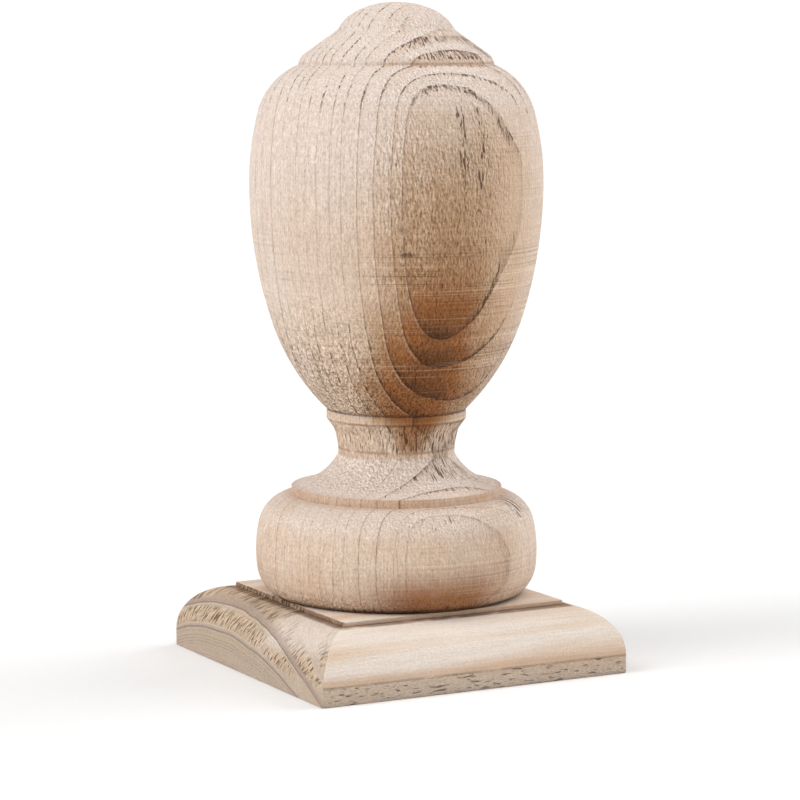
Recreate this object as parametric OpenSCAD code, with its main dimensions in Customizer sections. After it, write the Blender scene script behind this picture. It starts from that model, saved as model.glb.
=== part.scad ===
// Fence post cap: a turned softwood finial on a moulded square cap plate.
// Millimetres, +Z up. The origin is the middle of the plate's underside, which sits on the post.
// The plate's grain runs along X. The finial's grain runs along Z.

/* [Cap plate] */
// Side of the square plate, a little more than the 90 mm post under it
plate_side = 92; // [90:1:100]
// Thickness of the board that the plate is cut from
plate_t = 19; // [18:0.5:22]
// Radius of the roundover along the four edges
round_r = 12.7; // [8:0.1:13]
// Height of the small step around the raised square field
step_h = 1.3; // [0.8:0.1:2.5]

/* [Finial] */
// Height of the turned finial above the plate
finial_h = 160.5; // [158:0.5:166]
// Radius of the button on top, where it meets the flare
button_r = 15.9; // [14:0.1:17]
// Radius of the crease between the flare and the bowl
crease_r = 26.4; // [25.5:0.1:27.5]
// Radius of the bowl at its widest
bowl_r = 39.8; // [39:0.1:41]
// Radius of the bead under the bowl
bead_r = 19.05; // [18.9:0.05:20]
// Radius of the neck at its narrowest
neck_r = 15.9; // [15:0.1:16.5]
// Radius of the fillet where the neck flares out over the foot
fillet_r = 28.7; // [28:0.1:29.5]
// Radius of the foot at its widest
foot_r = 38.3; // [38:0.1:39.5]
// Radius of the flat that the foot stands on
seat_r = 33.5; // [32:0.1:35]

/* [Dowel screw] */
// Length of the double-ended screw, half in the finial and half in the post
dowel_l = 100; // [90:5:110]
// Diameter of the screw over its threads
dowel_d = 8; // [6:0.5:8]
// Advance of the screw in one turn
dowel_pitch = 3.6; // [2.5:0.1:4]
// Diameter of the hole that it passes through in the plate and screws into in the finial
dowel_hole_d = 8.1; // [8.1:0.05:8.2]

/* [Plate screws] */
// Distance between neighbouring screws, all under the finial's foot
screw_spacing = 38; // [34:1:40]
// Length of a countersunk screw
screw_l = 45; // [40:5:50]
// Diameter of a screw over its threads
screw_d = 4.2; // [4:0.1:4.5]
// Diameter of a screw's smooth shank
screw_shank_d = 3.2; // [3:0.1:3.4]
// Diameter of a screw's head
head_d = 8.2; // [8:0.1:9]

/* [Hidden] */

// Steps of a drawn arc, in degrees
arc_step = 4;
// More facets than this only slow the preview
$fn = 96;

half = plate_side / 2;
field = half - round_r;
band_h = plate_t - step_h - round_r;
drill_depth = dowel_l / 2 - plate_t / 2 + 2;
drill_point_h = 2;
// A thread's depth is this part of its screw's radius, and its crest and root take up these parts of its pitch
thread_depth = 0.25;
crest_share = 0.12;
root_share = 0.4;
// Length of the smooth shank in the middle of the dowel screw
dowel_shank_l = 22;
dowel_tip_l = 6;
screw_pitch = 2.4;
screw_shank_l = 15.3;
screw_tip_l = 4;
head_h = (head_d - screw_shank_d) / 2;
sink_h = (head_d - screw_d) / 2;
recess_w = 0.9;
recess_l = 4;
recess_depth = 1.6;

// Points along an arc from a to b of radius r. It bulges away from the axis, or towards it if r is negative.
// Outlines run from the top down, so the axis is on the right of the way they go.
function arc(a, b, r) =
    let (
        chord = norm(b - a),
        size = max(abs(r), chord / 2),
        to_axis = [b.y - a.y, a.x - b.x] / chord,
        centre = (a + b) / 2 + sign(r) * to_axis * sqrt(size ^ 2 - chord ^ 2 / 4),
        from = atan2(a.y - centre.y, a.x - centre.x),
        turn = -sign(r) * 2 * asin(chord / 2 / size),
        n = ceil(abs(turn) / arc_step)
    )
    [for (i = [0:n]) centre + size * [cos(from + turn * i / n), sin(from + turn * i / n)]];

// The finial's outline as [radius, height above the plate], from the top down
function finial_outline() =
    let (
        top = [0, finial_h],
        button_edge = [button_r * 0.615, finial_h - 2],
        button_foot = [button_r, finial_h - 7.5],
        flare_end = [crease_r - 1.8, finial_h - 13.7],
        crease = [crease_r, finial_h - 16.7],
        shoulder = [bowl_r - 2.35, finial_h - 29.6],
        widest = [bowl_r, finial_h - 48.5],
        lower = [bowl_r - 5.55, finial_h - 84.7],
        bowl_foot = [bead_r - 0.25, 50.5],
        neck = [neck_r, 38.4],
        flare_lip = [fillet_r, 29.6],
        fillet_foot = [fillet_r, 27.4],
        foot_shoulder = [foot_r - 0.7, 19.9],
        foot_belly = [foot_r, 7.9]
    )
    concat(
        arc(top, button_edge, 24.1),
        arc(button_edge, button_foot, 12.5),
        arc(flare_end, crease, 4.2),
        arc(crease, shoulder, 18.7),
        arc(shoulder, widest, 74.6),
        arc(widest, lower, 118.5),
        arc(lower, bowl_foot, 59.2),
        [[bead_r, 50.2], [bead_r, 48.2]],
        arc([neck_r + 1.2, 45.4], neck, -21),
        arc(neck, flare_lip, -16.6),
        arc(fillet_foot, foot_shoulder, 9.5),
        arc(foot_shoulder, foot_belly, 35.9),
        arc(foot_belly, [seat_r, 0], 10.3)
    );

// An outline without its repeated points
function distinct(points) =
    [for (i = [0:len(points) - 1]) if (i == 0 || norm(points[i] - points[max(i - 1, 0)]) > 0.001) points[i]];

// Half of one ridge's outline after another, down from z = 0, as [radius, height]
function ridges(r, pitch, count) =
    let (root = r * (1 - thread_depth), flank = (1 - crest_share - root_share) / 2)
    [
        for (i = [0:count - 1], p = [
            [root, 0],
            [root, -root_share],
            [r, -root_share - flank],
            [r, -root_share - flank - crest_share]
        ]) [p.x, (p.y - i) * pitch]
    ];

// One threaded end that points down from z = 0, with ridges and a gimlet point, of length l
module threaded_end(r, pitch, l, tip_l) {
    count = floor((l - tip_l) / pitch);
    root = r * (1 - thread_depth);
    rotate_extrude()
        polygon(concat(
            [[0, 0]],
            ridges(r, pitch, count),
            [[root, -count * pitch], [root, tip_l - l], [0, -l]]
        ));
}

// The turned finial, with the pilot hole for the dowel screw in its foot
module finial() {
    color("bisque")
        translate([0, 0, plate_t])
        difference() {
            rotate_extrude() polygon(concat(distinct(finial_outline()), [[0, 0]]));
            translate([0, 0, -1]) cylinder(d = dowel_hole_d, h = drill_depth + 1);
            translate([0, 0, drill_depth])
                cylinder(d1 = dowel_hole_d, d2 = 0.5, h = drill_point_h);
        }
}

// Half of the plate's moulded section: upright band, quarter-round and step, as [distance from middle, height]
function mould_side() =
    let (n = ceil(90 / arc_step))
    concat(
        [[half, 0]],
        [for (i = [0:n]) [field + round_r * cos(90 * i / n), band_h + round_r * sin(90 * i / n)]],
        [[field, plate_t]]
    );

// The board with its moulding run along both edges that lie along X
module moulded_board() {
    side = mould_side();
    outline = concat(side, [for (i = [len(side) - 1:-1:0]) [-side[i].x, side[i].y]]);
    rotate([90, 0, 90])
        translate([0, 0, -half])
        linear_extrude(plate_side) polygon(outline);
}

module at_screws() {
    for (x = [-1, 1], y = [-1, 1])
        translate([x * screw_spacing / 2, y * screw_spacing / 2, 0]) children();
}

// The plate: the moulding meets itself in a mitre at each corner
module cap_plate() {
    color("burlywood")
        difference() {
            intersection() {
                moulded_board();
                rotate([0, 0, 90]) moulded_board();
            }
            translate([0, 0, -1]) cylinder(d = dowel_hole_d, h = plate_t + 2);
            at_screws() {
                translate([0, 0, -1]) cylinder(d = screw_d, h = plate_t + 1);
                translate([0, 0, plate_t - sink_h]) cylinder(d1 = screw_d, d2 = head_d, h = sink_h);
            }
        }
}

// The double-ended wood screw, centred on the plate's thickness
module dowel_screw() {
    r = dowel_d / 2;
    end_l = (dowel_l - dowel_shank_l) / 2;
    color("silver")
        translate([0, 0, plate_t / 2]) {
            cylinder(r = r, h = dowel_shank_l, center = true);
            for (up = [0, 1])
                mirror([0, 0, up])
                translate([0, 0, -dowel_shank_l / 2])
                threaded_end(r, dowel_pitch, end_l, dowel_tip_l);
        }
}

// The cross-shaped recess in a screw's head, cut down from z = 0
module cross_recess() {
    for (a = [0, 90])
        rotate([0, 0, a])
        translate([-recess_l / 2, -recess_w / 2, -recess_depth])
        cube([recess_l, recess_w, recess_depth + 1]);
}

// The four countersunk screws that hold the plate to the post
module plate_screws() {
    color("gold")
        at_screws()
        translate([0, 0, plate_t])
        difference() {
            union() {
                translate([0, 0, -head_h]) cylinder(d1 = screw_shank_d, d2 = head_d, h = head_h);
                translate([0, 0, -head_h - screw_shank_l])
                    cylinder(d = screw_shank_d, h = screw_shank_l);
                translate([0, 0, -head_h - screw_shank_l])
                    threaded_end(screw_d / 2, screw_pitch, screw_l - head_h - screw_shank_l, screw_tip_l);
            }
            cross_recess();
        }
}

finial();
cap_plate();
dowel_screw();
plate_screws();
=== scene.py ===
"""Fence post cap: a turned softwood finial on a moulded cap plate, with its dowel screw and plate screws.

Lengths are in millimetres, and become metres where a mesh, a light or the camera is made. +Z is up.
"""

import math
from types import SimpleNamespace

import bmesh
import bpy
import numpy as np
from mathutils import Matrix, Vector


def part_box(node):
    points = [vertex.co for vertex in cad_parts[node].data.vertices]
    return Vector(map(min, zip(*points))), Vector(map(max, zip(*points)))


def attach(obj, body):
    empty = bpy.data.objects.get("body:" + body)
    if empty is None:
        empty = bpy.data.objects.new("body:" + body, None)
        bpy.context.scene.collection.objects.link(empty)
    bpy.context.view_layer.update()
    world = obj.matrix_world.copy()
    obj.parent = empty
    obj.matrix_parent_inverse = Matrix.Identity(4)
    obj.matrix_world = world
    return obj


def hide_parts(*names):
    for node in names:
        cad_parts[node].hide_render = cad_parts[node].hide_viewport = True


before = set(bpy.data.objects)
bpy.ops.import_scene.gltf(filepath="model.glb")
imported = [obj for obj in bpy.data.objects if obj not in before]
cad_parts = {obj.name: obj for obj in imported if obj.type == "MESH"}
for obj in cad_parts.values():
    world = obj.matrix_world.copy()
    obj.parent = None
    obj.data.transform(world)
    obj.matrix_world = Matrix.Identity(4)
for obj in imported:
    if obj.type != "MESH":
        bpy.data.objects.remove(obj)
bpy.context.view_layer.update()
MM = 0.001

# ---------------------------------------------------------------- sizes


def corners(node):
    """A CAD node's lowest and highest corners, in millimetres."""
    return [[round(v / MM, 2) for v in corner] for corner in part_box(node)]


# The plate: its side, its thickness, and its moulding's roundover, step and upright band
HALF, _, PLATE_T = corners("cap_plate")[1]
ROUND_R, STEP_H = 12.7, 1.3
FIELD = HALF - ROUND_R
FIELD_FOOT = PLATE_T - STEP_H
BAND_H = FIELD_FOOT - ROUND_R

# The double-ended screw, and the hole that is drilled for it up the finial
dowel_low, dowel_high = corners("dowel_screw")
DOWEL_R, DOWEL_L = dowel_high[0], dowel_high[2] - dowel_low[2]
DOWEL_PITCH, DOWEL_SHANK, DOWEL_TIP = 3.6, 22.0, 6.0
DOWEL_HOLE_R = DOWEL_R + 0.05
DRILL_DEPTH, DRILL_POINT = 42.5, 2.0

# The plate screws, which stand in a square
SCREW_AT, SCREW_R, SCREW_SHANK_R = 19.0, 2.1, 1.6
SCREW_PITCH, SCREW_SHANK, SCREW_TIP = 2.4, 15.3, 4.0
screws_low, screws_high = corners("plate_screws")
HEAD_R = round(screws_high[0] - SCREW_AT, 2)
SCREW_L = PLATE_T - screws_low[2]
RECESS_HALF_W, RECESS_HALF_L, RECESS_FOOT_HALF_L, RECESS_DEPTH = 0.42, 2.0, 0.7, 1.6

# A thread's root is this part of its radius, and a screw's point ends this wide
ROOT = 0.75
POINT_R = 0.03

# The finial's outline from the top down: the radius, the height above the plate, the radius of the arc to
# the next point (0 for a straight line, below 0 for a hollow), and the longest step along it
FINIAL_H = corners("finial")[1][2] - PLATE_T
SEAT_R = 33.5
OUTLINE = [
    (0.0, FINIAL_H, 24.1, 0.8),
    (9.8, 158.5, 12.5, 0.6),
    (15.9, 153.0, 0, 0.7),
    (24.6, 146.8, 4.2, 0.35),
    (26.4, 143.8, 18.7, 0.8),
    (37.45, 130.9, 74.6, 1.1),
    (39.8, 112.0, 118.5, 1.2),
    (34.25, 75.8, 59.2, 1.0),
    (18.8, 50.5, 0, 0.25),
    (19.05, 50.2, 0, 0.25),
    (19.05, 48.2, 0, 0.35),
    (17.1, 45.4, -21.0, 0.6),
    (15.9, 38.4, -16.6, 0.6),
    (28.7, 29.6, 0, 0.3),
    (28.7, 27.4, 9.5, 0.6),
    (37.6, 19.9, 35.9, 0.8),
    (38.3, 7.9, 10.3, 0.7),
    (SEAT_R, 0.0, 0, 1.0),
]


def arc(a, b, r, step):
    """Points from a to just before b on an arc that bulges away from the axis, or inwards if r is below 0."""
    a, b = np.array(a, float), np.array(b, float)
    chord = np.linalg.norm(b - a)
    if r == 0:
        n = max(1, math.ceil(chord / step))
        return [a + (b - a) * i / n for i in range(n)]
    size = max(abs(r), chord / 2)
    to_axis = np.array([b[1] - a[1], a[0] - b[0]]) / chord
    centre = (a + b) / 2 + math.copysign(1, r) * to_axis * math.sqrt(max(size**2 - chord**2 / 4, 0))
    start = math.atan2(a[1] - centre[1], a[0] - centre[0])
    turn = -math.copysign(1, r) * 2 * math.asin(min(1, chord / 2 / size))
    n = max(2, math.ceil(abs(turn) * size / step))
    angles = [start + turn * i / n for i in range(n)]
    return [centre + size * np.array([math.cos(t), math.sin(t)]) for t in angles]


# ---------------------------------------------------------------- mesh helpers

SINES = 7


def waves(seed, *coords):
    """Smooth noise, mostly from -1 to 1, made of sines.

    Each coordinate is a pair: its values, and a wavelength for each octave from the longest to the shortest.
    """
    rng = np.random.default_rng(seed)
    total, weight = 0, 0
    for octave in range(len(coords[0][1])):
        layer = 0
        for _ in range(SINES):
            angle = rng.uniform(0, 2 * math.pi)
            for values, lengths in coords:
                turns = 2 * math.pi / lengths[octave]
                angle = angle + values * turns * rng.uniform(0.55, 1.45) * rng.choice([-1, 1])
            layer = layer + np.sin(angle)
        share = 0.6**octave
        total, weight = total + layer / SINES * share, weight + share
    return 2.2 * total / weight


def near(height, middle, width):
    """1 at the middle height, falling smoothly to 0 over about the width."""
    return np.exp(-(((height - middle) / width) ** 2))


def around(cols):
    """The angles of points spaced evenly round a circle."""
    return np.arange(cols) * 2 * math.pi / cols


def grid_faces(rows, cols, flip=False):
    """Quads between rows of points, where each row closes on itself."""
    i, j = np.meshgrid(np.arange(rows - 1), np.arange(cols), indexing="ij")
    k = (j + 1) % cols
    quad = np.stack([i * cols + j, (i + 1) * cols + j, (i + 1) * cols + k, i * cols + k], -1).reshape(-1, 4)
    return (quad[:, ::-1] if flip else quad).tolist()


def new_mesh(name, verts, faces):
    mesh = bpy.data.meshes.new(name)
    mesh.from_pydata((np.asarray(verts) * MM).tolist(), [], faces)
    return mesh


def new_object(name, mesh):
    obj = bpy.data.objects.new(name, mesh)
    bpy.context.scene.collection.objects.link(obj)
    return obj


def add_piece(mesh, body, node, sharp_deg, material):
    """A finished piece, named as its mesh is, that rides on a body and stands for a CAD node."""
    mesh.shade_smooth()
    mesh.set_sharp_from_angle(angle=math.radians(sharp_deg))
    mesh.materials.append(material)
    obj = new_object(mesh.name, mesh)
    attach(obj, body)
    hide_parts(node)


# ---------------------------------------------------------------- shader helpers


def srgb(r, g, b):
    """The linear colour of an sRGB colour given from 0 to 255."""
    linear = [c / 255 / 12.92 if c <= 10 else ((c / 255 + 0.055) / 1.055) ** 2.4 for c in (r, g, b)]
    return (*linear, 1.0)


class Shader:
    """A material's nodes, each made by one call that returns its output."""

    def __init__(self, name):
        self.material = bpy.data.materials.new(name)
        self.material.use_nodes = True
        self.tree = self.material.node_tree
        self.tree.nodes.clear()
        coords = self.tree.nodes.new("ShaderNodeTexCoord")
        self.normal = coords.outputs["Normal"]
        self.point = self.vector("MULTIPLY", coords.outputs["Object"], (1 / MM, 1 / MM, 1 / MM))

    def put(self, socket, value):
        if isinstance(value, bpy.types.NodeSocket):
            self.tree.links.new(value, socket)
        else:
            socket.default_value = value

    def math(self, op, a, b=None, clamp=False):
        node = self.tree.nodes.new("ShaderNodeMath")
        node.operation, node.use_clamp = op, clamp
        self.put(node.inputs[0], a)
        if b is not None:
            self.put(node.inputs[1], b)
        return node.outputs[0]

    def chain(self, op, values):
        out = values[0]
        for value in values[1:]:
            out = self.math(op, out, value)
        return out

    def mul(self, *values):
        return self.chain("MULTIPLY", values)

    def add(self, *values):
        return self.chain("ADD", values)

    def most(self, *values):
        return self.chain("MAXIMUM", values)

    def sub(self, a, b):
        return self.math("SUBTRACT", a, b)

    def div(self, a, b, clamp=False):
        return self.math("DIVIDE", a, b, clamp)

    def rest(self, value):
        """What the value leaves of 1."""
        return self.sub(1.0, value)

    def above(self, value, level, gain):
        """How far the value is above the level, times the gain, from 0 to 1."""
        return self.math("MULTIPLY", self.sub(value, level), gain, clamp=True)

    def step(self, value, low, high):
        """0 below low, 1 above high, smooth between. With low above high it falls instead."""
        node = self.tree.nodes.new("ShaderNodeMapRange")
        node.interpolation_type = "SMOOTHSTEP"
        if low > high:
            low, high = high, low
            node.inputs["To Min"].default_value, node.inputs["To Max"].default_value = 1.0, 0.0
        node.inputs["From Min"].default_value, node.inputs["From Max"].default_value = low, high
        self.put(node.inputs["Value"], value)
        return node.outputs[0]

    def band(self, value, rise, fall):
        """The step over rise times the step over fall, each a pair (where it is 0, where it is 1)."""
        return self.mul(self.step(value, *rise), self.step(value, *fall))

    def curve(self, value, points):
        """A line through the points, both axes from 0 to 1."""
        node = self.tree.nodes.new("ShaderNodeFloatCurve")
        line = node.mapping.curves[0]
        for _ in range(len(points) - 2):
            line.points.new(0.5, 0.5)
        for p, (x, y) in zip(line.points, points):
            p.location, p.handle_type = (x, y), "VECTOR"
        node.mapping.update()
        self.put(node.inputs["Value"], value)
        return node.outputs[0]

    def vector(self, op, a, b=None):
        node = self.tree.nodes.new("ShaderNodeVectorMath")
        node.operation = op
        self.put(node.inputs[0], a)
        if b is not None:
            self.put(node.inputs[1], b)
        return node.outputs["Value" if op == "LENGTH" else "Vector"]

    def split(self, v):
        node = self.tree.nodes.new("ShaderNodeSeparateXYZ")
        self.put(node.inputs[0], v)
        return node.outputs

    def join(self, x, y, z):
        node = self.tree.nodes.new("ShaderNodeCombineXYZ")
        for socket, value in zip(node.inputs, (x, y, z)):
            self.put(socket, value)
        return node.outputs[0]

    def noise(self, v, size, detail=2.0, rough=0.5, offset=0.0, colour=False):
        """Noise over v with cells of size (x, y, z)."""
        node = self.tree.nodes.new("ShaderNodeTexNoise")
        scaled = self.vector("MULTIPLY_ADD", v, tuple(1 / s for s in size))
        scaled.node.inputs[2].default_value = (offset, offset * 1.7, offset * 0.6)
        self.put(node.inputs["Vector"], scaled)
        node.inputs["Scale"].default_value = 1.0
        node.inputs["Detail"].default_value = detail
        node.inputs["Roughness"].default_value = rough
        return node.outputs["Color" if colour else "Fac"]

    def drift(self, size, amount, offset=0.0):
        """A vector that wanders both ways, with cells of size (x, y, z) and amount (x, y, z)."""
        noise = self.noise(self.point, size, 1.0, offset=offset, colour=True)
        return self.vector("MULTIPLY", self.vector("SUBTRACT", noise, (0.5, 0.5, 0.5)), amount)

    def blob(self, centre, size, low=1.1, high=0.3, shift=None):
        """A soft patch: 1 near the centre, 0 outside the size (x, y, z)."""
        away = self.vector("SUBTRACT", self.point, centre)
        away = self.vector("LENGTH", self.vector("MULTIPLY", away, tuple(1 / s for s in size)))
        if shift is not None:
            away = self.add(away, shift)
        return self.step(away, low, high)

    def mix(self, factor, a, b, blend="MIX"):
        node = self.tree.nodes.new("ShaderNodeMix")
        node.data_type, node.blend_type = "RGBA", blend
        self.put(node.inputs[0], factor)
        self.put(node.inputs[6], a)
        self.put(node.inputs[7], b)
        return node.outputs[2]

    def surface(self, colour, roughness, height, distance, specular, metallic=0.0):
        """The finished material. The height is in units of distance, which is in metres."""
        bsdf = self.tree.nodes.new("ShaderNodeBsdfPrincipled")
        self.put(bsdf.inputs["Base Color"], colour)
        self.put(bsdf.inputs["Roughness"], roughness)
        bsdf.inputs["Specular IOR Level"].default_value = specular
        bsdf.inputs["Metallic"].default_value = metallic
        bump = self.tree.nodes.new("ShaderNodeBump")
        bump.inputs["Distance"].default_value = distance
        bump.inputs["Strength"].default_value = 1.0
        self.put(bump.inputs["Height"], height)
        self.put(bsdf.inputs["Normal"], bump.outputs[0])
        out = self.tree.nodes.new("ShaderNodeOutputMaterial")
        self.tree.links.new(bsdf.outputs[0], out.inputs["Surface"])
        return self.material


# ---------------------------------------------------------------- the finial's wood

# The finial is cut beside its pith, which stands in front of it, parallel to Z.
# Each growth ring has its radius round the pith, and how dark the line at its outer edge is.
PITH_X, PITH_Y = 1.0, -60.0
RINGS = [
    (17, 0), (21, 0.1), (25, 0.15), (30.6, 0.75), (33.1, 0.8), (37.5, 0.85), (42, 0.75), (46.4, 0.5),
    (49.5, 0.5), (53.5, 0.4), (57, 0.3), (60, 0.5), (62.7, 0.3), (65.6, 0.35), (69.5, 0.85), (74, 0.4),
    (77.5, 0.5), (82, 0.3), (85.5, 0.6), (90, 0.4), (94, 0.5), (99, 0.3), (104, 0.5), (108, 0.4), (113, 0.4),
]  # fmt: skip
# Where a ring ends: its latewood is 0 at the first part of the ring and full at the second
RING_END = (1.0, 0.985)


def finial_places(s):
    """Where a point is: its height h above the plate, the way it faces, and the zones it is in."""
    x, y, z = s.split(s.point)
    up_normal = s.split(s.normal)[2]
    h = s.sub(z, PLATE_T)
    across = s.vector("LENGTH", s.join(x, y, 0.5))
    facing_x, facing_y = s.div(x, across), s.div(y, across)
    # degrees round the axis, from 0 at the front to 90 at +X
    turn = s.mul(s.math("ARCTAN2", facing_x, s.mul(facing_y, -1.0)), 180 / math.pi)
    return SimpleNamespace(
        x=x, z=z, h=h, across=across, facing_x=facing_x, facing_y=facing_y, turn=turn,
        up=s.step(up_normal, 0.2, 0.6),
        half_up=s.step(up_normal, 0.05, 0.5),
        front=s.step(s.sub(s.mul(facing_x, 0.35), s.mul(facing_y, 0.94)), 0.35, 0.8),
        right=s.step(facing_x, 0.42, 0.62),
        near_right=s.step(turn, 66, 46),
        low_bowl=s.band(h, (50, 51), (90, 62)),
        above_bead=s.band(h, (50, 51), (74, 54)),
        under_bead=s.band(h, (39.8, 41.2), (49.0, 47.6)),
        cove=s.band(h, (29, 32), (45, 41)),
        foot=s.step(h, 28, 26),
        foot_top=s.band(h, (18.5, 24.0), (28, 26.8)),
        foot_edge=s.step(h, 6.5, 0.5),
    )  # fmt: skip


def finial_rings(s, at):
    """Which part of its growth ring a point is in, and where the dark latewood and its line show."""
    slow, quick = s.drift((42, 42, 70), (1.0, 1.0, 0)), s.drift((7, 7, 26), (0.9, 0.9, 0), 3.1)
    x, y, _ = s.split(s.vector("ADD", s.point, s.vector("ADD", slow, quick)))
    away = s.vector("LENGTH", s.join(s.sub(x, PITH_X), s.sub(y, PITH_Y), 0.0))
    # on the right the rings are flatter, and lie closer together near the front (distances in centimetres)
    rightward = s.mul(s.most(s.math("MINIMUM", s.add(x, 16.0), 35.0), 0.0), 0.1)
    behind = s.mul(s.add(y, 28.0), 0.1)
    flatter = s.add(
        2.8,
        s.mul(rightward, -1.52),
        s.mul(rightward, rightward, 0.19),
        s.mul(behind, s.add(-2.03, s.mul(rightward, 0.52))),
    )
    away = s.add(away, s.mul(rightward, rightward, flatter))

    low, high, count = RINGS[0][0], RINGS[-1][0], len(RINGS) - 1
    edges = [((radius - low) / (high - low), i / count) for i, (radius, _) in enumerate(RINGS)]
    phase = s.mul(s.curve(s.div(s.sub(away, low), high - low, clamp=True), edges), float(count))
    part = s.math("FRACT", phase)
    ring = s.add(s.math("FLOOR", phase), 1.0)
    dark = s.curve(s.div(ring, count), [(i / count, darkness) for i, (_, darkness) in enumerate(RINGS)])

    # the lines fade on the right of the bowl, on the button and on the foot
    clear = s.mul(
        s.rest(s.mul(at.right, s.band(at.h, (60, 75), (136, 126)), s.step(away, 31.4, 32.4), 0.8)),
        s.rest(s.mul(s.step(at.h, 150.5, 153.5), s.step(at.facing_x, -0.5, -0.1), 0.75)),
    )
    faint = s.rest(
        s.most(
            s.mul(s.step(at.facing_x, -0.1, 0.25), s.step(at.h, 142, 140), 0.5),
            s.mul(at.foot, s.step(at.facing_x, -0.6, -0.4), 0.62),
        )
    )
    shown = s.mul(dark, clear, faint)
    distinct = s.step(dark, 0.35, 0.6)
    # latewood darkens slowly outwards and stops at a thin line
    return SimpleNamespace(
        part=part, dark=dark, clear=clear, distinct=distinct,
        late=s.mul(s.band(part, (0.55, 0.98), RING_END), shown),
        line=s.mul(s.band(part, (0.9, 0.965), (1.0, 0.98)), shown),
        before_line=s.mul(s.band(part, (0.25, 0.7), RING_END), distinct, clear, s.rest(s.mul(at.foot, 0.5))),
        at_line=s.mul(s.band(part, (0.84, 0.93), RING_END), s.step(dark, 0.15, 0.4), clear),
    )  # fmt: skip


def finial_grain(s, at):
    """The fibres, which run along Z, the blotches, and the level marks of the lathe."""
    p = s.point
    wrinkle_size = (0.7, 0.7, 1.5)
    # the wrinkles again, a little way along +X and up: their difference paints light and shade on the
    # wrinkles' slopes
    beside = s.vector("ADD", p, (0.27, 0.08, 0.2))
    patch = s.noise(p, (8, 8, 12), 2.0, 0.6, offset=7.7)
    lathe = s.noise(p, (90, 90, 0.42), 1.0, 0.6, offset=4.4)
    turned = s.mul(
        s.most(
            s.band(at.h, (52, 60), (112, 84)),
            s.mul(s.step(at.h, 18, 12), 0.6),
            s.mul(s.rest(s.step(at.facing_x, -0.35, -0.75)), 0.22),
        ),
        s.step(s.noise(p, (20, 20, 9), 1.0, offset=8.8), 0.35, 0.6),
        s.add(0.3, s.mul(at.front, 0.7)),
    )
    return SimpleNamespace(
        fibre=s.noise(p, (0.5, 0.5, 11.0), 2.0, 0.6),
        fine=s.noise(p, (0.5, 0.5, 2.6), 1.0, 0.6, offset=5.0),
        grit=s.noise(p, (0.34, 0.34, 0.75), 1.0, 0.6, offset=9.0),
        wrinkle=s.noise(p, wrinkle_size, 1.0, 0.5, offset=11.0),
        relief_light_wrinkle=s.noise(beside, wrinkle_size, 1.0, 0.5, offset=11.0),
        cloud=s.noise(p, (22, 22, 34), 2.0, 0.55, offset=1.3),
        patch=patch,
        ragged=s.sub(patch, 0.5),
        lathe=lathe,
        turned=turned,
        wide_marks=s.noise(p, (60, 60, 1.5), 1.0, 0.5, offset=6.1),
        pale_scratch=s.mul(s.step(lathe, 0.6, 0.74), turned),
        dark_scratch=s.mul(s.step(lathe, 0.42, 0.28), turned),
    )


def torn_strokes(s, at):
    """Noise whose peaks are the strokes, taken on a cylinder, so that they run straight up the slopes."""
    unrolled_r = 32.0
    q = s.join(s.mul(at.facing_x, unrolled_r), s.mul(at.facing_y, unrolled_r), at.z)
    wide_part = s.mul(s.step(at.across, 22, 28), s.rest(at.up))
    on_slope = s.mul(at.up, s.step(at.h, 40, 60))
    elsewhere = s.math("SUBTRACT", 1.0, s.add(wide_part, on_slope), clamp=True)
    return s.add(
        s.mul(s.noise(q, (0.46, 0.46, 3.0), 1.0, 0.5, offset=2.2), wide_part),
        s.mul(s.noise(q, (0.55, 0.55, 1.7), 1.0, 0.5, offset=1.2), on_slope),
        s.mul(s.noise(q, (0.75, 0.75, 3.0), 1.0, 0.5, offset=6.2), elsewhere),
    )


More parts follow.
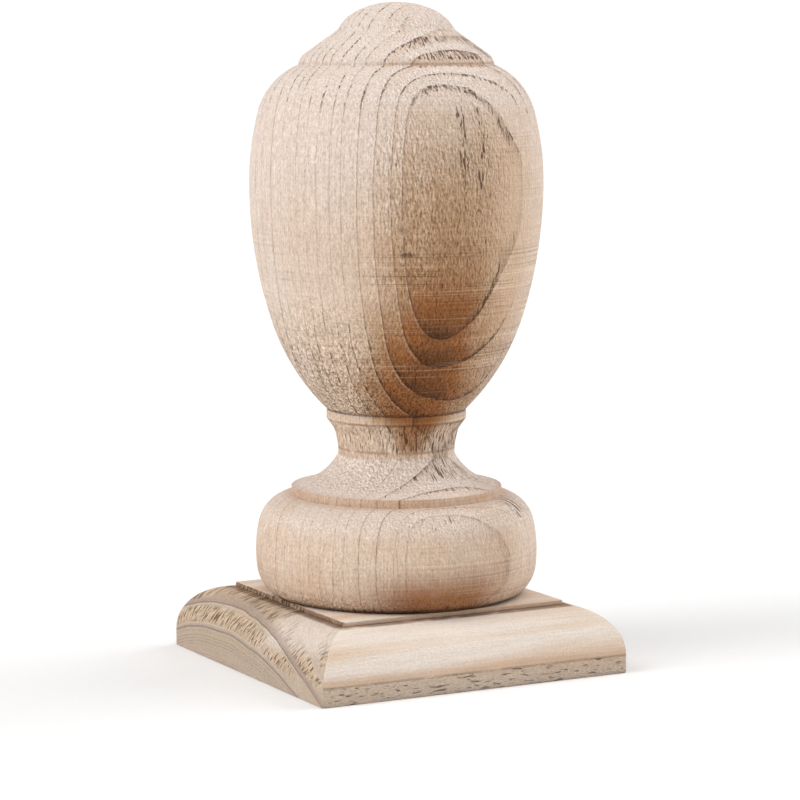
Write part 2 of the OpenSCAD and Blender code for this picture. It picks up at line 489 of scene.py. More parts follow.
def finial_tears(s, at, rings, grain, eye):
    """Short dark strokes where the cutter tore the fibres out."""
    h, part, before_line, at_line = at.h, rings.part, rings.before_line, rings.at_line
    # two broken streaks up the front of the bowl
    wander = s.add(at.turn, s.mul(grain.ragged, 5.0))
    left_streak = s.step(s.math("ABSOLUTE", s.add(wander, 1.0)), 3.6, 1.0)
    right_streak = s.step(s.math("ABSOLUTE", s.sub(wander, 5.6)), 3.0, 0.8)
    streaks = s.mul(s.most(left_streak, right_streak), s.band(h, (106, 114), (139, 132)))
    broken = s.step(grain.patch, 0.42, 0.62)
    on_front_slope = s.add(0.25, s.mul(at.front, s.step(at.turn, -40, -8), 0.75))
    in_band = s.mul(s.band(part, (0.1, 0.6), RING_END), s.step(rings.dark, 0.4, 0.7), rings.clear)
    in_cove_band = s.mul(s.band(part, (0.05, 0.5), RING_END), rings.distinct)
    right_arches = s.mul(s.step(part, 0.76, 0.92), before_line, s.step(at.facing_x, -0.1, 0.12))
    right_loops = s.mul(at_line, s.step(part, 0.88, 0.95), s.step(at.facing_x, 0.0, 0.15))
    # how torn each place is, from the button down to the foot
    zone = s.most(
        s.mul(at.up, in_band, on_front_slope, s.step(h, 142, 144), 1.06),
        s.mul(right_arches, s.step(h, 107, 129), at.near_right),
        s.mul(at.up, s.step(part, 0.7, 0.85), before_line, s.add(0.4, s.mul(at.front, 0.5))),
        s.mul(eye, 0.6),
        s.mul(streaks, s.step(grain.cloud, 0.2, 0.5), 0.92),
        s.mul(right_loops, s.band(h, (60, 68), (100, 88)), 1.15),
        s.mul(at_line, broken, s.step(h, 28, 60), 0.55),
        s.mul(at.low_bowl, s.add(0.5, s.mul(broken, 0.3)), s.add(0.5, s.mul(before_line, 0.5))),
        s.mul(at.under_bead, s.add(0.66, s.mul(at.front, 0.26))),
        s.mul(at.cove, in_cove_band, s.step(at.facing_x, -0.55, -0.1), 0.8),
        s.mul(at.foot_top, s.most(s.mul(broken, 0.5), s.mul(at.right, at.near_right, 0.8))),
        s.mul(at.foot_edge, 0.75),
    )
    strokes = s.above(torn_strokes(s, at), s.sub(0.86, s.mul(zone, 0.34)), 14.0)
    slits = s.mul(
        s.above(s.noise(s.point, (0.7, 0.7, 3.4), 1.0, 0.6, offset=3.7), 0.5, 14.0),
        at_line,
        s.most(s.mul(at.up, s.step(h, 20, 80)), at.low_bowl, 0.16),
        s.step(s.add(grain.patch, s.mul(at.low_bowl, 0.15)), 0.44, 0.52),
    )
    fleck = s.noise(s.point, (0.5, 0.5, 1.7), 1.0, 0.6, offset=13.0)
    flecks = s.mul(
        s.above(fleck, s.sub(0.71, s.mul(at.above_bead, 0.11)), 12.0),
        at.low_bowl,
        s.add(0.45, s.mul(at.above_bead, 0.4)),
    )
    nick = s.blob((-15.4, -35.2, 114.4), (1.9, 3.0, 0.8), 1.1, 0.6)
    return s.most(
        s.mul(strokes, s.step(zone, 0.04, 0.3)),
        slits,
        flecks,
        s.mul(nick, s.step(grain.wrinkle, 0.38, 0.5), 0.8),
    )


def heartwood_stain(s, at, rings, grain):
    """How stained the wood is. The stain's middle, half-width and depth change with height.

    Heights are parts of 160 mm, and half-widths are parts of 60 degrees round the axis.
    """
    level = s.div(at.h, 160.0, clamp=True)
    middle = s.sub(s.mul(s.step(at.h, 55, 90), 5.0), 12.5)
    half_widths = [
        (0, 0.3), (0.24, 0.28), (0.29, 0.34), (0.32, 0.72), (0.36, 0.72), (0.42, 0.48), (0.5, 0.49),
        (0.6, 0.5), (1, 0.48),
    ]  # fmt: skip
    depths = [
        (0, 0), (0.235, 0), (0.265, 0.55), (0.31, 0.8), (0.36, 0.92), (0.42, 1), (0.47, 0.86), (0.54, 0.62),
        (0.6, 0.5), (0.7, 0.36), (0.8, 0.18), (0.9, 0), (1, 0),
    ]  # fmt: skip
    half_width = s.mul(s.curve(level, half_widths), 60.0)
    spread = s.div(s.math("ABSOLUTE", s.sub(at.turn, middle)), half_width)
    before_dark = s.mul(s.step(rings.part, 0.2, 0.95), s.step(rings.dark, 0.3, 0.6))
    within = s.step(s.add(spread, s.mul(grain.ragged, 0.6)), 1.5, 0.05)
    return s.mul(within, s.curve(level, depths), s.add(0.9, s.mul(before_dark, 0.19)))


def finial_body_colour(s, at, rings, grain, stain):
    """The wood's colour without its rings' lines: sapwood in its tints and the brown heartwood, with painted
    light on the upper left, on the tops and on both sides, and painted shade on the front of the foot and
    under it.
    """
    h, turn, front = at.h, at.turn, at.front
    colour = s.mix(s.step(grain.cloud, 0.3, 0.7), srgb(226, 204, 184), srgb(217, 187, 160))
    warm = s.mul(s.step(turn, -88, -35), s.step(h, 128, 95), s.step(h, 44, 52), 0.55)
    colour = s.mix(warm, colour, srgb(214, 180, 148))
    # painted light: the upper left, towards the key light, and the surfaces that face up are mixed paler
    lit_upper_left = s.step(s.add(s.mul(at.x, -1.0), s.mul(at.z, 0.28)), 26, 74)
    painted_top_light = s.mul(at.half_up, s.sub(0.8, s.mul(at.foot, 0.3)))
    painted_pale_light = s.most(s.mul(lit_upper_left, s.add(0.42, s.mul(s.step(h, 98, 130), 0.3))), painted_top_light)
    colour = s.mix(painted_pale_light, colour, srgb(236, 221, 211))
    tan = s.mul(rings.before_line, front, s.add(0.12, s.mul(s.step(h, 140, 144), 0.2)))
    colour = s.mix(tan, colour, srgb(214, 168, 124))
    colour = s.mix(s.mul(at.low_bowl, s.add(0.1, s.mul(front, 0.3))), colour, srgb(186, 146, 114))
    # painted light: the left of the lower bowl and of the neck, which faces the key light, is mixed paler
    painted_left_light = s.mul(s.step(turn, -36, -58), s.most(at.low_bowl, at.under_bead), 0.34)
    colour = s.mix(painted_left_light, colour, srgb(236, 210, 186))
    # painted light: the right side is mixed paler, as a reflection of the bright room
    colour = s.mix(s.mul(s.step(turn, 22, 50), 0.55), colour, srgb(226, 208, 195))
    colour = s.mix(s.step(stain, 0.02, 0.42), colour, srgb(192, 156, 122))
    colour = s.mix(s.step(stain, 0.28, 0.76), colour, srgb(158, 102, 58))
    colour = s.mix(s.step(stain, 0.7, 1.05), colour, srgb(110, 68, 36))
    # painted shade: a grey patch on the front of the foot, where the least light falls
    painted_foot_shade = s.blob((8, -38, 33), (20, 14, 12), 1.1, 0.2)
    colour = s.mix(s.mul(painted_foot_shade, 0.35), colour, srgb(184, 154, 134))
    # the lower foot, under its bulge, is browner, mostly at the front: partly brown grain, partly painted
    # shade
    lower_foot = s.mul(s.step(h, 15.0, 4.0), s.step(grain.patch, 0.1, 0.45))
    brown_and_shaded_foot = s.mul(lower_foot, s.add(0.15, s.mul(front, s.step(turn, 30, 2), 0.8)))
    colour = s.mix(brown_and_shaded_foot, colour, srgb(150, 98, 58))
    streaky = s.add(0.12, s.mul(s.step(grain.fibre, 0.4, 0.6), 0.3))
    return s.mix(s.mul(s.band(h, (26.6, 27.5), (30.0, 29.4)), streaky), colour, srgb(190, 142, 102))


def ring_colours(s, at, rings, grain, stain, colour):
    """The colour with the rings' latewood and lines on it, darker and browner in the stain."""
    h, part = at.h, rings.part
    late_share = s.add(
        0.13,
        s.mul(stain, s.step(part, 0.84, 1.0), 0.36),
        s.mul(at.up, s.step(h, 140, 144), -0.08),
    )
    latewood = s.mix(stain, srgb(196, 164, 142), srgb(84, 54, 36))
    colour = s.mix(s.mul(rings.late, late_share), colour, latewood)
    line_share = s.add(
        0.52,
        s.mul(at.front, s.step(h, 108, 84), 0.3),
        s.mul(at.up, s.step(h, 120, 135), at.front, -0.3),
    )
    line = s.mul(rings.line, s.step(grain.fine, 0.26, 0.54), line_share, s.rest(s.mul(stain, 0.8)))
    colour = s.mix(line, colour, srgb(118, 84, 66))
    thin_line = s.mul(s.band(part, (0.952, 0.972), RING_END), rings.dark, rings.clear)
    colour = s.mix(s.mul(thin_line, s.step(stain, 0.15, 0.6), 0.6), colour, srgb(76, 47, 28))
    # painted highlight: a pale edge just outside each ring line on the lower left of the bowl
    painted_line_highlight = s.mul(
        s.band(part, (0.0, 0.02), (0.13, 0.06)),
        s.band(h, (50, 51), (104, 84)),
        s.band(at.turn, (-76, -64), (-14, -26)),
        s.step(grain.fine, 0.3, 0.5),
        rings.clear,
    )
    return s.mix(s.mul(painted_line_highlight, 0.3), colour, srgb(236, 212, 184))


def shade_line_colours(s, at, grain, colour):
    """The colour with lines of painted shade in the crease, at the neck's collar and beside the bead, and a
    painted contact shadow under the foot.
    """
    h, patch = at.h, grain.patch
    # painted shade: dark lines in the crease and at the neck's collar
    crease = s.mul(s.band(h, (143.9, 144.2), (144.8, 144.4)), s.add(0.1, s.mul(at.front, 0.25)))
    collar = s.mul(s.band(h, (39.7, 40.1), (40.8, 40.4)), s.step(patch, 0.3, 0.5), 0.45)
    colour = s.mix(s.most(crease, collar), colour, srgb(142, 102, 78))
    # painted shadow: dark lines just above and below the bead
    bead_shadow_lines = s.most(s.band(h, (50.2, 50.5), (51.6, 50.9)), s.band(h, (47.5, 47.9), (48.5, 48.2)))
    colour = s.mix(s.mul(bead_shadow_lines, s.step(patch, 0.2, 0.5), 0.5), colour, srgb(104, 68, 42))
    # painted contact shadow: a dark rim along the bottom of the foot
    return s.mix(s.mul(s.step(h, 1.9, 0.4), 0.75), colour, srgb(72, 46, 28))


def finial_wood():
    s = Shader("turned_softwood")
    at = finial_places(s)
    rings = finial_rings(s, at)
    grain = finial_grain(s, at)
    eye = s.blob((5, -38, 137), (9, 14, 26), 1.1, 0.3, shift=s.mul(grain.ragged, 1.6))
    torn = finial_tears(s, at, rings, grain, eye)
    # rough, fuzzy grain where the cutter met the fibres head on
    fuzzy_front = s.mul(s.band(at.h, (50, 62), (140, 118)), s.step(at.facing_x, 0.5, 0.1), at.front)
    fuzzy = s.most(
        s.mul(fuzzy_front, s.step(grain.patch, 0.1, 0.5)),
        s.mul(eye, 0.9),
        at.low_bowl,
        s.mul(at.foot_edge, 0.9),
        s.mul(s.most(at.under_bead, at.cove), 0.6),
        s.mul(at.up, at.front, 0.5),
        0.15,
    )

    stain = heartwood_stain(s, at, rings, grain)
    colour = finial_body_colour(s, at, rings, grain, stain)
    colour = ring_colours(s, at, rings, grain, stain, colour)
    # pale and dark fibres woven with the marks of the lathe, and painted light and shade on the slopes of the
    # wrinkles: most in blue and least in red
    tone = s.add(
        s.mul(s.sub(grain.fibre, 0.5), 0.5),
        s.mul(s.sub(s.step(grain.grit, 0.3, 0.7), 0.5), s.add(0.21, s.mul(fuzzy, 0.14))),
        s.mul(s.sub(grain.relief_light_wrinkle, grain.wrinkle), s.add(0.2, s.mul(fuzzy, 1.6))),
        s.mul(s.sub(grain.lathe, 0.5), s.add(0.1, s.mul(grain.turned, 0.85))),
    )
    tones = s.vector("MULTIPLY", s.join(tone, tone, tone), (0.86, 1.0, 1.16))
    colour = s.mix(1.0, colour, s.vector("ADD", tones, (1, 1, 1)), "MULTIPLY")
    colour = shade_line_colours(s, at, grain, colour)
    colour = s.mix(s.mul(torn, 0.8), colour, srgb(84, 49, 26))
    colour = s.mix(s.mul(grain.pale_scratch, 0.3), colour, srgb(238, 220, 198))
    colour = s.mix(s.mul(grain.dark_scratch, 0.3), colour, srgb(110, 78, 56))

    height = s.add(
        s.mul(grain.fibre, 0.3),
        s.mul(grain.grit, 0.35),
        s.mul(grain.wrinkle, fuzzy, 1.4),
        s.mul(rings.line, 0.12),
        s.mul(grain.wide_marks, 0.3),
        s.mul(grain.lathe, grain.turned, 0.35),
        s.mul(torn, -0.6),
    )
    return s.surface(colour, s.add(0.72, s.mul(grain.fine, 0.12)), height, MM, 0.2)


# ---------------------------------------------------------------- the plate's wood

# The board's rings are arcs round an axis along X, far below it, and this far apart
BOARD_PITH_Y, BOARD_PITH_Z, RING_STEP, FIRST_RING = 13.0, -110.0, 6.4, 99.4


def board_rings(s):
    """The rings' phase, which goes up by 1 a ring, with their lines, and the ways along and across them."""
    slow, quick = s.drift((80, 30, 30), (0, 2.0, 2.0), 2.0), s.drift((30, 6, 6), (0, 0.5, 0.5), 5.0)
    _, y, z = s.split(s.vector("ADD", s.point, s.vector("ADD", slow, quick)))
    y, z = s.sub(y, BOARD_PITH_Y), s.sub(z, BOARD_PITH_Z)
    away = s.vector("LENGTH", s.join(0.0, y, z))
    phase = s.div(s.sub(away, FIRST_RING), RING_STEP)
    part = s.math("FRACT", phase)
    # only two rings have a dark line, and the outer one's latewood is broader
    lined = s.band(phase, (2.98, 3.0), (4.95, 4.9))
    broad_late = s.mul(s.step(phase, 3.995, 4.005), s.step(part, 0.46, 0.12))
    thin_rings = s.noise(s.join(0.0, 0.0, away), (1, 1, 0.42), 1.0, 0.5)
    return SimpleNamespace(
        away=away,
        around=s.mul(s.math("ARCTAN2", y, z), 120.0),
        phase=phase,
        late=s.mul(s.step(part, 0.0, 0.05), s.most(s.step(part, 0.18, 0.07), broad_late), lined),
        line=s.mul(s.band(part, (0.0, 0.015), (0.09, 0.03)), lined),
        thin_rings=thin_rings,
        inner=s.step(phase, 3.0, 2.9),
        soft_band=s.band(part, (0.2, 0.34), (0.95, 0.8)),
    )


def plate_places(s):
    """Where a point is on the plate: end grain faces X, and the long grain's side faces Y or up."""
    x, y, z = s.split(s.point)
    wide, deep = s.math("ABSOLUTE", x), s.math("ABSOLUTE", y)
    on_end = s.step(s.sub(wide, deep), 0.0, 0.5)
    past_field = s.step(wide, FIELD - 0.3, FIELD + 0.3)
    facing_x = s.step(s.math("ABSOLUTE", s.split(s.normal)[0]), 0.28, 0.75)
    end = s.most(facing_x, s.mul(on_end, past_field, s.step(z, 5, 9), 0.85))
    side = s.rest(end)
    front_mitre = s.mul(s.step(y, -1, -14), s.step(s.add(z, s.mul(y, 0.12)), 6, 10))
    return SimpleNamespace(
        z=z,
        on_end=on_end,
        end=end,
        side=side,
        mitre=s.mul(on_end, front_mitre, past_field),
        low_side=s.mul(side, s.step(z, 5.6, 4.6)),
        # the little step round the raised field, and its foot
        rise=s.band(z, (FIELD_FOOT - 0.25, FIELD_FOOT + 0.05), (PLATE_T - 0.02, PLATE_T - 0.2)),
        shaded_step_foot=s.band(z, (FIELD_FOOT - 0.3, FIELD_FOOT - 0.1), (FIELD_FOOT + 0.35, FIELD_FOOT + 0.15)),
    )


def plate_wood():
    s = Shader("moulded_softwood")
    rings = board_rings(s)
    at = plate_places(s)
    p, z, end, side = s.point, at.z, at.end, at.side

    fibre = s.noise(p, (14, 0.5, 0.5), 3.0, 0.6)
    broad = s.noise(p, (90, 5.5, 5.5), 2.0, 0.5, offset=3.0)
    speck = s.noise(p, (0.7, 0.36, 0.36), 1.0, 0.7, offset=9.0)
    patch = s.noise(p, (10, 10, 10), 2.0, 0.6, offset=1.0)
    patchy = s.step(patch, 0.3, 0.5)

    # on the end grain the cutter pulls out pits that lie across the rings
    slanted = s.join(0.0, s.add(rings.around, s.mul(rings.away, 0.35)), rings.away)
    pit = s.noise(slanted, (1, 0.75, 2.6), 1.0, 0.5, offset=6.0)
    soft_end = s.mul(end, s.step(z, 4.0, 7.5), rings.soft_band)
    pit_zone = s.mul(
        soft_end, s.step(patch, 0.3, 0.45), s.step(rings.phase, 2.98, 3.0), s.rest(s.mul(at.mitre, 0.7))
    )
    pits = s.mul(s.above(pit, 0.56, 9.0), pit_zone)
    painted_pit_highlight = s.mul(s.math("MULTIPLY", s.sub(0.48, pit), 9.0, clamp=True), pit_zone)
    # on the sides it tears fibres out along the grain
    stroke = s.noise(p, (3.2, 0.55, 0.5), 1.5, 0.55, offset=4.0)
    tear_zone = s.most(s.mul(at.low_side, 0.8), s.mul(side, 0.12))
    torn = s.mul(s.above(stroke, s.sub(0.86, s.mul(tear_zone, 0.3)), 10.0), s.step(tear_zone, 0.05, 0.3))

    colour = s.mix(s.step(broad, 0.35, 0.65), srgb(238, 225, 213), srgb(230, 206, 184))
    colour = s.mix(s.mul(s.step(broad, 0.6, 0.72), side, 0.4), colour, srgb(222, 188, 154))
    colour = s.mix(s.mul(end, 0.85), colour, srgb(196, 176, 156))
    colour = s.mix(s.mul(soft_end, 0.65), colour, srgb(206, 176, 144))
    colour = s.mix(s.mul(at.low_side, 0.75), colour, srgb(192, 170, 148))
    above_band = s.mul(side, s.band(z, (4.9, 5.4), (8.6, 5.6)), 0.55)
    colour = s.mix(above_band, colour, srgb(204, 164, 128))
    band_line = s.mul(side, s.band(z, (4.5, 4.9), (5.5, 5.1)), patchy, 0.5)
    colour = s.mix(band_line, colour, srgb(124, 96, 74))
    colour = s.mix(s.mul(end, rings.inner, 0.5), colour, srgb(188, 170, 152))
    colour = s.mix(s.mul(at.mitre, 0.75), colour, srgb(234, 220, 208))
    colour = s.mix(s.mul(rings.late, s.add(0.18, s.mul(end, 0.42))), colour, srgb(158, 136, 124))
    colour = s.mix(s.mul(rings.line, s.add(0.2, s.mul(end, 0.3))), colour, srgb(124, 98, 84))
    thin_lines = s.mul(s.step(rings.thin_rings, 0.48, 0.62), end, s.add(0.16, s.mul(rings.inner, 0.22)))
    colour = s.mix(thin_lines, colour, srgb(146, 120, 102))
    rough_rise = s.mix(at.on_end, srgb(186, 146, 112), srgb(142, 106, 78))
    colour = s.mix(s.mul(at.rise, s.add(0.6, s.mul(at.on_end, 0.2))), colour, rough_rise)
    # painted shade: a dark, broken line in the corner at the foot of the step
    colour = s.mix(s.mul(at.shaded_step_foot, patchy, 0.6), colour, srgb(104, 74, 52))
    rough = s.add(0.3, s.mul(s.most(end, at.low_side), 0.4))
    tone = s.add(s.mul(s.sub(fibre, 0.5), 0.3), s.mul(s.sub(speck, 0.5), rough), 1.0)
    colour = s.mix(1.0, colour, s.join(tone, tone, tone), "MULTIPLY")
    colour = s.mix(s.mul(torn, 0.7), colour, srgb(92, 66, 48))
    colour = s.mix(s.mul(pits, 0.72), colour, srgb(120, 88, 62))
    # painted highlight: pale patches between the pits
    colour = s.mix(s.mul(painted_pit_highlight, 0.5), colour, srgb(232, 214, 190))
    height = s.add(
        s.mul(fibre, 0.16),
        s.mul(speck, 0.34),
        s.mul(rings.line, 0.12),
        s.mul(pits, -1.1),
        s.mul(torn, -0.7),
        s.mul(rings.thin_rings, end, 0.16),
    )
    return s.surface(colour, s.add(0.72, s.mul(speck, 0.12)), height, MM, 0.2)


# ---------------------------------------------------------------- the screws' steel


def steel(name, colour, dull, roughness):
    s = Shader(name)
    speck = s.noise(s.point, (0.5, 0.5, 0.5), 3.0, 0.6)
    cloud = s.noise(s.point, (6, 6, 6), 2.0, 0.5, offset=3.0)
    turned = s.noise(s.point, (9, 9, 0.12), 1.0, 0.5, offset=1.0)
    shade = s.mix(s.step(cloud, 0.35, 0.7), colour, dull)
    return s.surface(
        s.mix(s.mul(speck, 0.3), shade, dull),
        s.add(roughness, s.mul(cloud, 0.22)),
        s.add(s.mul(turned, 0.4), s.mul(speck, 0.3)),
        0.04 * MM,
        specular=0.5,
        metallic=0.95,
    )


# ---------------------------------------------------------------- the finial


def finial_profile():
    """The finial's section as rows of (radius, height), and how many of them are outside.

    It runs from beside the top down the outside, in across the seat and up the pilot hole.
    """
    outside = []
    for (*a, r, step), (*b, _, _) in zip(OUTLINE, OUTLINE[1:]):
        outside += arc(a, b, r, step)
    outside.append(np.array([SEAT_R, 0.0]))
    seat = [[r, 0.0] for r in (SEAT_R - 0.5, 25, 15, 8, 4.6)]
    seat += [[DOWEL_HOLE_R + 0.3, 0.0], [DOWEL_HOLE_R, 0.35]]
    hole = [[DOWEL_HOLE_R, h] for h in (8, 16, 24, 32, DRILL_DEPTH)] + [[0.25, DRILL_DEPTH + DRILL_POINT]]
    return np.vstack([outside[1:], seat, hole]), len(outside) - 2


def make_finial():
    profile, outside = finial_profile()
    cols = 330
    r = np.repeat(profile[:, :1], cols, 1)
    h = np.repeat(profile[:, 1:], cols, 1)
    a = np.repeat(around(cols)[None, :], len(profile), 0)
    on_outside = np.zeros_like(r)
    on_outside[:outside] = 1
    # the turned surface is slightly uneven, and its fillet, crease and bead have ragged edges
    ragged = near(h, 29.3, 0.9) + 0.5 * near(h, 144.6, 1.6) + 0.5 * near(h, 49.2, 1.4)
    bumps = 0.035 * waves(3, (a * 40, [60, 18, 6]), (h, [40, 12, 4]))
    chips = 0.13 * ragged * waves(5, (a * 30, [8, 3, 1.6]), (h, [5, 2, 1.0]))
    r = r + on_outside * np.minimum((bumps + chips - 0.03) * np.clip(r / 12, 0, 1), 0.02)
    h = h + on_outside * 0.07 * ragged * waves(7, (a * 30, [7, 3, 1.5]), (h, [5, 2, 1.0]))
    verts = np.stack([r * np.cos(a), r * np.sin(a), h + PLATE_T], -1).reshape(-1, 3)
    faces = grid_faces(len(profile), cols)
    # a fan of triangles closes the top, and another the hole's point
    top, point = len(verts), len(verts) + 1
    verts = np.vstack([verts, [[0, 0, FINIAL_H + PLATE_T], [0, 0, PLATE_T + DRILL_DEPTH + DRILL_POINT]]])
    last = (len(profile) - 1) * cols
    for j in range(cols):
        k = (j + 1) % cols
        faces.append([top, j, k])
        faces.append([point, last + k, last + j])
    mesh = new_mesh("turned_finial", verts, faces)
    mesh.validate()
    add_piece(mesh, "finial", "finial", 38, finial_wood())


# ---------------------------------------------------------------- the cap plate


def square_loop(half, corner, side_points, corner_points):
    """Points (x, y) round a square with rounded corners, anticlockwise from one end of its +X side."""
    points = []
    flat = half - corner
    arcs = np.linspace(0, math.pi / 2, corner_points + 2)[1:-1]
    run = [(half, flat * w) for w in np.linspace(-1, 1, side_points)]
    run += [(flat + corner * math.cos(t), flat + corner * math.sin(t)) for t in arcs]
    for quarter in range(4):
        cos, sin = math.cos(quarter * math.pi / 2), math.sin(quarter * math.pi / 2)
        points += [(x * cos - y * sin, x * sin + y * cos) for x, y in run]
    return np.array(points)


def plate_section():
    """The moulding from the underside up to the field, as (half of the side, height)."""
    arris = [(HALF - 0.35, 0.0), (HALF - 0.1, 0.1), (HALF, 0.4)]
    band = [(HALF, z) for z in np.linspace(0.9, BAND_H - 0.3, 7)]
    turns = np.linspace(0, math.pi / 2, 26)
    roundover = [(FIELD + ROUND_R * math.cos(t), BAND_H + ROUND_R * math.sin(t)) for t in turns]
    step = [(FIELD + 0.02, PLATE_T - STEP_H * w) for w in (0.7, 0.4, 0.18)]
    return arris + band + roundover + step + [(FIELD - 0.06, PLATE_T - 0.05), (FIELD - 0.3, PLATE_T)]


def worn(verts):
    """The plate's rows of points, moved in by planing marks, slight wear and chips, never out."""
    x, y, z = verts[..., 0], verts[..., 1], verts[..., 2]
    below_top = z < PLATE_T - 0.01
    on_step = (z > FIELD_FOOT - 0.01) & below_top
    wear = 0.06 * np.clip(waves(11, (x, [50, 16, 5]), (y, [50, 16, 5]), (z, [30, 9, 4])), -1, 1) + 0.06
    chips = 0.16 * on_step * np.clip(waves(13, (x, [6, 2.4, 1.2]), (y, [6, 2.4, 1.2])), -0.6, 1)
    size = np.maximum(np.abs(x), np.abs(y))
    shrink = 1 - (wear * (z > 0.05) * below_top + chips) / size
    return np.stack([x * shrink, y * shrink, z], -1)


def plate_holes():
    """Each hole down through the plate, as (x, y, its steps as (radius, height), points round it)."""
    dowel_hole = [
        (DOWEL_HOLE_R + 0.2, PLATE_T),
        (DOWEL_HOLE_R, PLATE_T - 0.2),
        (DOWEL_HOLE_R, 0.2),
        (DOWEL_HOLE_R + 0.15, 0),
    ]
    countersunk = [(HEAD_R, PLATE_T), (SCREW_R, PLATE_T - (HEAD_R - SCREW_R)), (SCREW_R, 0.0)]
    screw_holes = [(x * SCREW_AT, y * SCREW_AT, countersunk, 40) for x in (-1, 1) for y in (-1, 1)]
    return [(0, 0, dowel_hole, 48)] + screw_holes


def add_hole(verts, faces, x, y, steps, n):
    """Add a hole's wall to the lists, and return its top and bottom loops of points."""
    loops = []
    for radius, z in steps:
        loops.append(list(range(len(verts), len(verts) + n)))
        for i in range(n):
            t = 2 * math.pi * i / n
            verts.append([x + radius * math.cos(t), y + radius * math.sin(t), z])
    for upper, lower in zip(loops, loops[1:]):
        for i in range(n):
            k = (i + 1) % n
            faces.append([lower[i], lower[k], upper[k], upper[i]])
    return loops[0], loops[-1]


def fill(bm, loops, up):
    """Close the flat face between an outer loop and its holes. It faces up (1) or down (-1)."""
    edges = []
    for loop in loops:
        for i, start in enumerate(loop):
            pair = (bm.verts[start], bm.verts[loop[(i + 1) % len(loop)]])
            edges.append(bm.edges.get(pair) or bm.edges.new(pair))
    made = bmesh.ops.triangle_fill(bm, use_beauty=True, use_dissolve=False, edges=edges, normal=(0, 0, up))
    for face in (g for g in made["geom"] if isinstance(g, bmesh.types.BMFace)):
        if face.normal.z * up < 0:
            face.normal_flip()


def make_plate():
    section = plate_section()
    loops = [(square_loop(half, corner=0.7, side_points=121, corner_points=4), z) for half, z in section]
    rows = np.array([np.column_stack([loop, np.full(len(loop), z)]) for loop, z in loops])
    cols = rows.shape[1]
    faces = grid_faces(len(rows), cols, flip=True)
    verts = worn(rows).reshape(-1, 3).tolist()
    top_loops = [list(range(len(verts) - cols, len(verts)))]
    bottom_loops = [list(range(cols))]
    for hole in plate_holes():
        top, bottom = add_hole(verts, faces, *hole)
        top_loops.append(top)
        bottom_loops.append(bottom)

    mesh = new_mesh("moulded_plate", verts, faces)
    bm = bmesh.new()
    bm.from_mesh(mesh)
    bm.verts.ensure_lookup_table()
    fill(bm, top_loops, 1)
    fill(bm, bottom_loops, -1)
    bm.to_mesh(mesh)
    bm.free()
    add_piece(mesh, "cap_plate", "cap_plate", 32, plate_wood())


# ---------------------------------------------------------------- screws


def thread_radius(z, angle, radius, pitch, fade_start, fade_end):
    """Radius of a right-hand thread at height z. The ridge only grows between fade_start and fade_end."""
    part = (z / pitch - angle / (2 * math.pi)) % 1.0
    ridge = np.clip((0.36 - np.abs(part - 0.5)) / 0.3, 0, 1)
    grow = np.clip((z - fade_start) / pitch, 0, 1) * np.clip((fade_end - z) / pitch, 0, 1)
    root = radius * ROOT
    return root + (radius - root) * ridge * grow


def rod_mesh(name, stations, cols):
    """A closed rod from rows of (z, radius). A radius is a number, or an array with one for each angle."""
    angle = around(cols)
    rows = [np.column_stack([r * np.cos(angle), r * np.sin(angle), np.full(cols, z)]) for z, r in stations]
    faces = grid_faces(len(rows), cols)
    faces.append(list(range(cols)))
    faces.append(list(range((len(rows) - 1) * cols, len(rows) * cols))[::-1])
    return new_mesh(name, np.vstack(rows), faces)


def make_dowel_screw():
    cols = 48
    half, shank, middle = DOWEL_L / 2, DOWEL_SHANK / 2, PLATE_T / 2
    thread_l = half - shank

    def radius(depth, angle):
        """Radius at a depth beyond the shank, where the last part tapers to the point."""
        left = thread_l - depth
        taper = min(1.0, 0.04 + left / DOWEL_TIP) if left < DOWEL_TIP else 1.0
        thread = thread_radius(depth, angle, DOWEL_R, DOWEL_PITCH, 0.2, thread_l - 1.0)
        return np.minimum(thread * taper + (1 - taper) * 0.02, DOWEL_R)

    depths = np.arange(0, thread_l, 0.16)
    shank_heights = [shank, *np.linspace(shank - 0.3, 0.3 - shank, 8), -shank]
    stations = [(half, POINT_R)]
    stations += [(shank + depth, radius(depth, around(cols))) for depth in depths[::-1]]
    stations += [(z, DOWEL_R) for z in shank_heights]
    stations += [(-shank - depth, radius(depth, -around(cols))) for depth in depths]
    stations += [(-half, POINT_R)]
    mesh = rod_mesh("dowel_screw_body", [(z + middle, r) for z, r in stations], cols)
    mesh.validate()
    zinc = steel("bright_zinc", srgb(196, 198, 200), srgb(150, 152, 156), 0.3)
    add_piece(mesh, "dowel_screw", "dowel_screw", 40, zinc)


def recess_cutter(turn):
    """One bar of the cross recess: a box whose lower part narrows to its foot."""
    cos, sin = math.cos(turn), math.sin(turn)
    points = []
    for z, length in ((0.4, RECESS_HALF_L), (-0.1, RECESS_HALF_L), (-RECESS_DEPTH, RECESS_FOOT_HALF_L)):
        for along, across in ((-1, -1), (1, -1), (1, 1), (-1, 1)):
            x, y = along * length, across * RECESS_HALF_W
            points.append([x * cos - y * sin, x * sin + y * cos, z])
    sides = []
    for low in (0, 4):
        for i in range(4):
            k = (i + 1) % 4
            sides.append([low + 4 + i, low + 4 + k, low + k, low + i])
    return new_object("cutter", new_mesh("cutter", points, sides + [[0, 1, 2, 3], [11, 10, 9, 8]]))


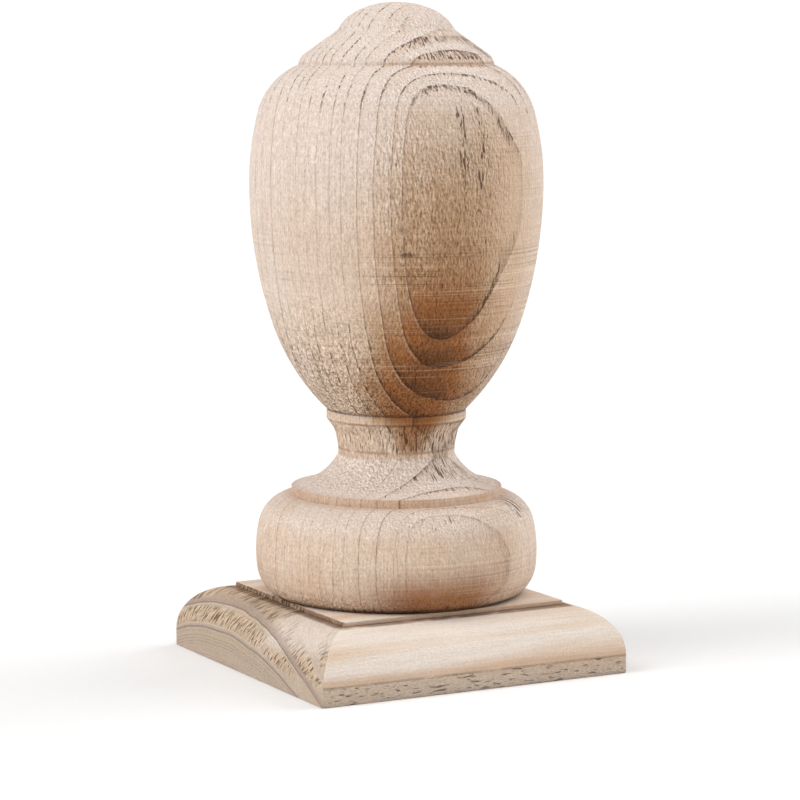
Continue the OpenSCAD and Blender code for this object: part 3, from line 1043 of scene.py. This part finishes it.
def one_plate_screw():
    """A screw's points, with its head's top at z = 0, and its faces."""
    cols = 32
    head_rim, head_h = HEAD_R - 0.12, HEAD_R - SCREW_SHANK_R
    thread_from = head_h + SCREW_SHANK
    stations = [(0.0, head_rim), (-0.12, head_rim), (-head_h, SCREW_SHANK_R), (-thread_from, SCREW_SHANK_R)]
    for depth in np.arange(thread_from + 0.1, SCREW_L - 0.05, 0.14):
        taper = min(1.0, 0.05 + (SCREW_L - depth) / SCREW_TIP)
        thread = thread_radius(depth, -around(cols), SCREW_R, SCREW_PITCH, thread_from, SCREW_L - 0.6)
        stations.append((-depth, thread * taper))
    stations.append((-SCREW_L, POINT_R))
    screw = new_object("plate_screw", rod_mesh("plate_screw", stations, cols))
    cutters = [recess_cutter(0), recess_cutter(math.pi / 2)]
    for cutter in cutters:
        modifier = screw.modifiers.new("recess", "BOOLEAN")
        modifier.operation, modifier.object, modifier.solver = "DIFFERENCE", cutter, "EXACT"
    bpy.context.view_layer.update()
    cut = bpy.data.meshes.new_from_object(screw.evaluated_get(bpy.context.evaluated_depsgraph_get()))
    for thing in [screw] + cutters:
        bpy.data.objects.remove(thing)
    points = np.empty(len(cut.vertices) * 3)
    cut.vertices.foreach_get("co", points)
    return points.reshape(-1, 3) / MM, [list(f.vertices) for f in cut.polygons]


def make_plate_screws():
    points, polygons = one_plate_screw()
    verts, faces = [], []
    for n, (x, y, turn) in enumerate(((-1, -1, 0.4), (1, -1, 1.2), (-1, 1, 0.9), (1, 1, 0.1))):
        cos, sin = math.cos(turn), math.sin(turn)
        turned = points @ np.array([[cos, sin, 0], [-sin, cos, 0], [0, 0, 1]])
        verts.append(turned + [x * SCREW_AT, y * SCREW_AT, PLATE_T])
        faces += [[v + n * len(points) for v in f] for f in polygons]
    mesh = new_mesh("plate_screws_set", np.vstack(verts), faces)
    mesh.validate()
    zinc = steel("yellow_zinc", srgb(206, 182, 118), srgb(168, 144, 92), 0.34)
    add_piece(mesh, "cap_plate", "plate_screws", 35, zinc)


# ---------------------------------------------------------------- studio, in metres


def floor_material():
    s = Shader("studio_floor")
    grain = s.noise(s.point, (3, 3, 3), 2.0, 0.5)
    return s.surface(s.mix(grain, srgb(246, 246, 246), srgb(250, 250, 250)), 0.9, grain, 0.02 * MM, 0.1)


def backdrop_material():
    material = bpy.data.materials.new("white_backdrop")
    material.use_nodes = True
    tree = material.node_tree
    tree.nodes.clear()
    emission = tree.nodes.new("ShaderNodeEmission")
    emission.inputs["Strength"].default_value = 1.05
    out = tree.nodes.new("ShaderNodeOutputMaterial")
    tree.links.new(emission.outputs[0], out.inputs["Surface"])
    return material


def make_room():
    bpy.ops.mesh.primitive_plane_add(size=15.9, location=(0, 0, 0))
    floor = bpy.context.object
    floor.name = "floor"
    floor.data.materials.append(floor_material())
    # a plain white backdrop all round, which the camera sees and which gives the object no light
    bpy.ops.mesh.primitive_uv_sphere_add(segments=64, ring_count=32, radius=8)
    backdrop = bpy.context.object
    backdrop.name = "backdrop"
    backdrop.data.materials.append(backdrop_material())
    backdrop.visible_diffuse = backdrop.visible_glossy = backdrop.visible_shadow = False


def soft_sun(name, azimuth, elevation, strength, spread):
    """A soft white light from a direction, in degrees: azimuth 0 is from -Y, 90 from +X."""
    light = bpy.data.lights.new(name, "SUN")
    light.energy, light.angle = strength, math.radians(spread)
    obj = new_object(name, light)
    a, e = math.radians(azimuth), math.radians(elevation)
    toward = Vector((math.sin(a) * math.cos(e), -math.cos(a) * math.cos(e), math.sin(e)))
    obj.rotation_euler = toward.to_track_quat("Z", "Y").to_euler()
    obj.location = toward * 3


def make_light():
    world = bpy.data.worlds.new("studio")
    world.use_nodes = True
    background = world.node_tree.nodes["Background"]
    background.inputs["Color"].default_value = (1, 1, 1, 1)
    background.inputs["Strength"].default_value = 0.42
    bpy.context.scene.world = world
    bpy.context.scene.view_settings.view_transform = "Standard"
    soft_sun("key", -96, 40, 1.42, 34)
    soft_sun("fill", 86, 34, 1.3, 50)
    soft_sun("top", -20, 74, 0.75, 70)


def make_camera():
    """A camera to the left of the front, a little above the plate, that looks slightly down."""
    azimuth, pitch = math.radians(-28.07), math.radians(7.17)
    # it aims this much to the right of the finial's axis
    aside = math.radians(0.069)
    distance, height = 0.8294, 0.1761
    data = bpy.data.cameras.new("camera")
    data.sensor_width, data.lens = 36.0, 137.9
    data.clip_start, data.clip_end = 0.05, 100.0
    camera = new_object("camera", data)
    camera.location = (distance * math.sin(azimuth), -distance * math.cos(azimuth), height)
    turn = Matrix.Rotation(azimuth - aside, 4, "Z") @ Matrix.Rotation(math.pi / 2 - pitch, 4, "X")
    camera.rotation_euler = turn.to_euler()
    bpy.context.scene.camera = camera


make_finial()
make_plate()
make_dowel_screw()
make_plate_screws()
make_room()
make_light()
make_camera()
